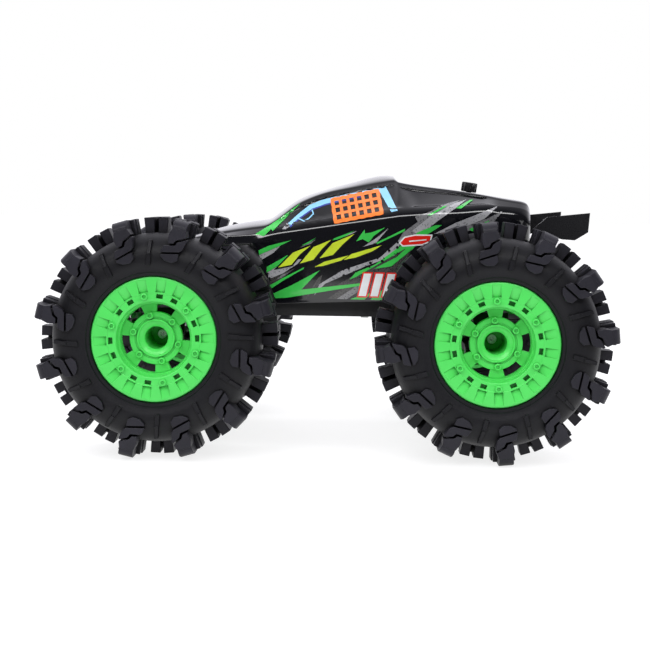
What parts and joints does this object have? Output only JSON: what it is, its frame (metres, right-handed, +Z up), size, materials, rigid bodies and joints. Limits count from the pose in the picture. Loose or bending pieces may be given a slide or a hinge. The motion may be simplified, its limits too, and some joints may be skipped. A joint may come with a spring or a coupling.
{
  "type": "rc stunt car",
  "caption": "Radio-controlled stunt car on oversized lugged tyres with green dished rims, a glossy black body shell, a rear wing, and working suspension and steering.",
  "frame": {"origin": "on the ground, halfway between the axles, in the car's plane of symmetry", "axes": "+X towards the rear of the car, +Y towards its right side, +Z up"},
  "size_m": [0.385, 0.298, 0.1918],
  "materials": {
    "tyre_rubber": "soft charcoal rubber with a faint sheen",
    "green_plastic": "bright green moulded plastic, semi-gloss",
    "steel": "turned steel",
    "steel_screw": "bright zinc-plated screw",
    "black_nylon": "fine-grained black nylon",
    "shock_plastic": "smooth black plastic",
    "spring_steel": "bare spring wire",
    "servo_plastic": "moulded black case",
    "white_plastic": "off-white nylon",
    "dark_plastic": "dark grey moulded case",
    "motor_can": "plated steel can",
    "battery_wrap": "blue shrink wrap",
    "gloss_body": "high-gloss black body with printed graphics",
    "black_plastic": "satin black plastic"
  },
  "bodies": {
    "chassis": {"chassis_tub": "black_nylon", "shock_towers": "black_nylon", "gearboxes": "dark_plastic", "motor": "motor_can", "battery_pack": "battery_wrap", "steering_servo": "servo_plastic"},
    "shell": {"body_shell": "gloss_body", "rear_wing": "black_plastic"},
    "knob": {"thumb_knob": "black_plastic"},
    "switch": {"power_switch": "white_plastic"},
    "rack": {"steering_rack": "black_nylon"},
    "horn": {"servo_horn": "white_plastic"},
    "arm_fl": {"lower_arm_fl": "black_nylon"},
    "link_fl": {"upper_arm_fl": "black_nylon"},
    "hub_fl": {"carrier_fl": "black_nylon"},
    "shaft_fl": {"driveshaft_fl": "steel"},
    "damper_fl": {"shock_body_fl": "shock_plastic", "shock_spring_fl": "spring_steel"},
    "piston_fl": {"shock_rod_fl": "steel"},
    "wheel_fl": {"tyre_fl": "tyre_rubber", "rim_fl": "green_plastic", "stub_axle_fl": "steel", "wheel_screw_fl": "steel_screw"},
    "steer_fl": {"knuckle_fl": "black_nylon"},
    "tie_fl": {"tie_rod_fl": "steel"},
    "arm_fr": {"lower_arm_fr": "black_nylon"},
    "link_fr": {"upper_arm_fr": "black_nylon"},
    "hub_fr": {"carrier_fr": "black_nylon"},
    "shaft_fr": {"driveshaft_fr": "steel"},
    "damper_fr": {"shock_body_fr": "shock_plastic", "shock_spring_fr": "spring_steel"},
    "piston_fr": {"shock_rod_fr": "steel"},
    "wheel_fr": {"tyre_fr": "tyre_rubber", "rim_fr": "green_plastic", "stub_axle_fr": "steel", "wheel_screw_fr": "steel_screw"},
    "steer_fr": {"knuckle_fr": "black_nylon"},
    "tie_fr": {"tie_rod_fr": "steel"},
    "arm_rl": {"lower_arm_rl": "black_nylon"},
    "link_rl": {"upper_arm_rl": "black_nylon"},
    "hub_rl": {"carrier_rl": "black_nylon"},
    "shaft_rl": {"driveshaft_rl": "steel"},
    "damper_rl": {"shock_body_rl": "shock_plastic", "shock_spring_rl": "spring_steel"},
    "piston_rl": {"shock_rod_rl": "steel"},
    "wheel_rl": {"tyre_rl": "tyre_rubber", "rim_rl": "green_plastic", "stub_axle_rl": "steel", "wheel_screw_rl": "steel_screw"},
    "arm_rr": {"lower_arm_rr": "black_nylon"},
    "link_rr": {"upper_arm_rr": "black_nylon"},
    "hub_rr": {"carrier_rr": "black_nylon"},
    "shaft_rr": {"driveshaft_rr": "steel"},
    "damper_rr": {"shock_body_rr": "shock_plastic", "shock_spring_rr": "spring_steel"},
    "piston_rr": {"shock_rod_rr": "steel"},
    "wheel_rr": {"tyre_rr": "tyre_rubber", "rim_rr": "green_plastic", "stub_axle_rr": "steel", "wheel_screw_rr": "steel_screw"}
  },
  "joints": [
    {"name": "arm_fl_pivot", "type": "hinge", "parent": "chassis", "child": "arm_fl", "pos_m": [-0.1125, -0.028, 0.084], "axis": [-1, 0, 0], "range_deg": [-8, 8], "stiffness_Nm_per_rad": 3, "springref_deg": -1.91},
    {"name": "hub_fl_pivot", "type": "hinge", "parent": "arm_fl", "child": "hub_fl", "pos_m": [-0.1125, -0.076, 0.068], "axis": [-1, 0, 0], "range_deg": [-8, 8]},
    {"name": "link_fl_pivot", "type": "hinge", "parent": "chassis", "child": "link_fl", "pos_m": [-0.1125, -0.028, 0.11], "axis": [-1, 0, 0], "range_deg": [-8, 8]},
    {"name": "shaft_fl_swing", "type": "hinge", "parent": "chassis", "child": "shaft_fl", "pos_m": [-0.1125, -0.036, 0.096], "axis": [-1, 0, 0], "range_deg": [-8, 8]},
    {"name": "damper_fl_pivot", "type": "hinge", "parent": "chassis", "child": "damper_fl", "pos_m": [-0.0985, -0.038, 0.131], "axis": [-1, 0, 0], "range_deg": [-2.82, 2.82]},
    {"name": "piston_fl_slide", "type": "slide", "parent": "damper_fl", "child": "piston_fl", "axis": [0, 0.4092, 0.9125], "range_m": [-0.00405, 0.00405], "deforming": ["shock_spring_fl"]},
    {"name": "steer_fl", "type": "hinge", "parent": "hub_fl", "child": "steer_fl", "pos_m": [-0.1125, -0.084, 0.081], "axis": [0, 0, 1], "range_deg": [-16, 16]},
    {"name": "tie_fl_pivot", "type": "hinge", "parent": "rack", "child": "tie_fl", "pos_m": [-0.1325, -0.036, 0.1075], "axis": [-1, 0, 0], "range_deg": [-8, 8]},
    {"name": "wheel_fl_spin", "type": "hinge", "parent": "steer_fl", "child": "wheel_fl", "pos_m": [-0.1125, -0.111, 0.08], "axis": [0, 1, 0], "continuous": true},
    {"name": "arm_fr_pivot", "type": "hinge", "parent": "chassis", "child": "arm_fr", "pos_m": [-0.1125, 0.028, 0.084], "axis": [1, 0, 0], "range_deg": [-8, 8], "stiffness_Nm_per_rad": 3, "springref_deg": -1.91},
    {"name": "hub_fr_pivot", "type": "hinge", "parent": "arm_fr", "child": "hub_fr", "pos_m": [-0.1125, 0.076, 0.068], "axis": [1, 0, 0], "range_deg": [-8, 8]},
    {"name": "link_fr_pivot", "type": "hinge", "parent": "chassis", "child": "link_fr", "pos_m": [-0.1125, 0.028, 0.11], "axis": [1, 0, 0], "range_deg": [-8, 8]},
    {"name": "shaft_fr_swing", "type": "hinge", "parent": "chassis", "child": "shaft_fr", "pos_m": [-0.1125, 0.036, 0.096], "axis": [1, 0, 0], "range_deg": [-8, 8]},
    {"name": "damper_fr_pivot", "type": "hinge", "parent": "chassis", "child": "damper_fr", "pos_m": [-0.0985, 0.038, 0.131], "axis": [1, 0, 0], "range_deg": [-2.82, 2.82]},
    {"name": "piston_fr_slide", "type": "slide", "parent": "damper_fr", "child": "piston_fr", "axis": [0, -0.4092, 0.9125], "range_m": [-0.00405, 0.00405], "deforming": ["shock_spring_fr"]},
    {"name": "steer_fr", "type": "hinge", "parent": "hub_fr", "child": "steer_fr", "pos_m": [-0.1125, 0.084, 0.081], "axis": [0, 0, 1], "range_deg": [-16, 16]},
    {"name": "tie_fr_pivot", "type": "hinge", "parent": "rack", "child": "tie_fr", "pos_m": [-0.1325, 0.036, 0.1075], "axis": [1, 0, 0], "range_deg": [-8, 8]},
    {"name": "wheel_fr_spin", "type": "hinge", "parent": "steer_fr", "child": "wheel_fr", "pos_m": [-0.1125, 0.111, 0.08], "axis": [0, 1, 0], "continuous": true},
    {"name": "arm_rl_pivot", "type": "hinge", "parent": "chassis", "child": "arm_rl", "pos_m": [0.1125, -0.028, 0.084], "axis": [-1, 0, 0], "range_deg": [-8, 8], "stiffness_Nm_per_rad": 3, "springref_deg": -1.91},
    {"name": "hub_rl_pivot", "type": "hinge", "parent": "arm_rl", "child": "hub_rl", "pos_m": [0.1125, -0.076, 0.068], "axis": [-1, 0, 0], "range_deg": [-8, 8]},
    {"name": "link_rl_pivot", "type": "hinge", "parent": "chassis", "child": "link_rl", "pos_m": [0.1125, -0.028, 0.11], "axis": [-1, 0, 0], "range_deg": [-8, 8]},
    {"name": "shaft_rl_swing", "type": "hinge", "parent": "chassis", "child": "shaft_rl", "pos_m": [0.1125, -0.036, 0.096], "axis": [-1, 0, 0], "range_deg": [-8, 8]},
    {"name": "damper_rl_pivot", "type": "hinge", "parent": "chassis", "child": "damper_rl", "pos_m": [0.0985, -0.038, 0.131], "axis": [-1, 0, 0], "range_deg": [-2.82, 2.82]},
    {"name": "piston_rl_slide", "type": "slide", "parent": "damper_rl", "child": "piston_rl", "axis": [0, 0.4092, 0.9125], "range_m": [-0.00405, 0.00405], "deforming": ["shock_spring_rl"]},
    {"name": "wheel_rl_spin", "type": "hinge", "parent": "hub_rl", "child": "wheel_rl", "pos_m": [0.1125, -0.111, 0.08], "axis": [0, 1, 0], "continuous": true},
    {"name": "arm_rr_pivot", "type": "hinge", "parent": "chassis", "child": "arm_rr", "pos_m": [0.1125, 0.028, 0.084], "axis": [1, 0, 0], "range_deg": [-8, 8], "stiffness_Nm_per_rad": 3, "springref_deg": -1.91},
    {"name": "hub_rr_pivot", "type": "hinge", "parent": "arm_rr", "child": "hub_rr", "pos_m": [0.1125, 0.076, 0.068], "axis": [1, 0, 0], "range_deg": [-8, 8]},
    {"name": "link_rr_pivot", "type": "hinge", "parent": "chassis", "child": "link_rr", "pos_m": [0.1125, 0.028, 0.11], "axis": [1, 0, 0], "range_deg": [-8, 8]},
    {"name": "shaft_rr_swing", "type": "hinge", "parent": "chassis", "child": "shaft_rr", "pos_m": [0.1125, 0.036, 0.096], "axis": [1, 0, 0], "range_deg": [-8, 8]},
    {"name": "damper_rr_pivot", "type": "hinge", "parent": "chassis", "child": "damper_rr", "pos_m": [0.0985, 0.038, 0.131], "axis": [1, 0, 0], "range_deg": [-2.82, 2.82]},
    {"name": "piston_rr_slide", "type": "slide", "parent": "damper_rr", "child": "piston_rr", "axis": [0, -0.4092, 0.9125], "range_m": [-0.00405, 0.00405], "deforming": ["shock_spring_rr"]},
    {"name": "wheel_rr_spin", "type": "hinge", "parent": "hub_rr", "child": "wheel_rr", "pos_m": [0.1125, 0.111, 0.08], "axis": [0, 1, 0], "continuous": true},
    {"name": "rack_slide", "type": "slide", "parent": "chassis", "child": "rack", "axis": [0, 1, 0], "range_m": [-0.0057, 0.0057]},
    {"name": "servo_horn_turn", "type": "hinge", "parent": "chassis", "child": "horn", "pos_m": [-0.1125, 0, 0.1138], "axis": [0, 0, 1], "range_deg": [-16, 16]},
    {"name": "shell_lift", "type": "slide", "parent": "chassis", "child": "shell", "axis": [0, 0, 1], "range_m": [0, 0.09]},
    {"name": "knob_turn", "type": "hinge", "parent": "shell", "child": "knob", "pos_m": [0.102, 0, 0.1803], "axis": [0.1374, 0, 0.9905], "continuous": true},
    {"name": "switch_slide", "type": "slide", "parent": "chassis", "child": "switch", "axis": [1, 0, 0], "range_m": [0, 0.005]}
  ],
  "couplings": [
    {"joint": "hub_fl_pivot", "follows": "arm_fl_pivot", "ratio": -1},
    {"joint": "link_fl_pivot", "follows": "arm_fl_pivot", "ratio": 1},
    {"joint": "shaft_fl_swing", "follows": "arm_fl_pivot", "ratio": 1},
    {"joint": "damper_fl_pivot", "follows": "arm_fl_pivot", "ratio": 0.31475},
    {"joint": "piston_fl_slide", "follows": "arm_fl_pivot", "m_per_rad": 0.028324},
    {"joint": "tie_fl_pivot", "follows": "arm_fl_pivot", "ratio": 1},
    {"joint": "hub_fr_pivot", "follows": "arm_fr_pivot", "ratio": -1},
    {"joint": "link_fr_pivot", "follows": "arm_fr_pivot", "ratio": 1},
    {"joint": "shaft_fr_swing", "follows": "arm_fr_pivot", "ratio": 1},
    {"joint": "damper_fr_pivot", "follows": "arm_fr_pivot", "ratio": 0.31475},
    {"joint": "piston_fr_slide", "follows": "arm_fr_pivot", "m_per_rad": 0.028324},
    {"joint": "tie_fr_pivot", "follows": "arm_fr_pivot", "ratio": 1},
    {"joint": "hub_rl_pivot", "follows": "arm_rl_pivot", "ratio": -1},
    {"joint": "link_rl_pivot", "follows": "arm_rl_pivot", "ratio": 1},
    {"joint": "shaft_rl_swing", "follows": "arm_rl_pivot", "ratio": 1},
    {"joint": "damper_rl_pivot", "follows": "arm_rl_pivot", "ratio": 0.31475},
    {"joint": "piston_rl_slide", "follows": "arm_rl_pivot", "m_per_rad": 0.028324},
    {"joint": "hub_rr_pivot", "follows": "arm_rr_pivot", "ratio": -1},
    {"joint": "link_rr_pivot", "follows": "arm_rr_pivot", "ratio": 1},
    {"joint": "shaft_rr_swing", "follows": "arm_rr_pivot", "ratio": 1},
    {"joint": "damper_rr_pivot", "follows": "arm_rr_pivot", "ratio": 0.31475},
    {"joint": "piston_rr_slide", "follows": "arm_rr_pivot", "m_per_rad": 0.028324},
    {"joint": "steer_fr", "follows": "steer_fl", "ratio": 1},
    {"joint": "rack_slide", "follows": "steer_fl", "m_per_rad": -0.019741},
    {"joint": "servo_horn_turn", "follows": "steer_fl", "ratio": 1}
  ]
}
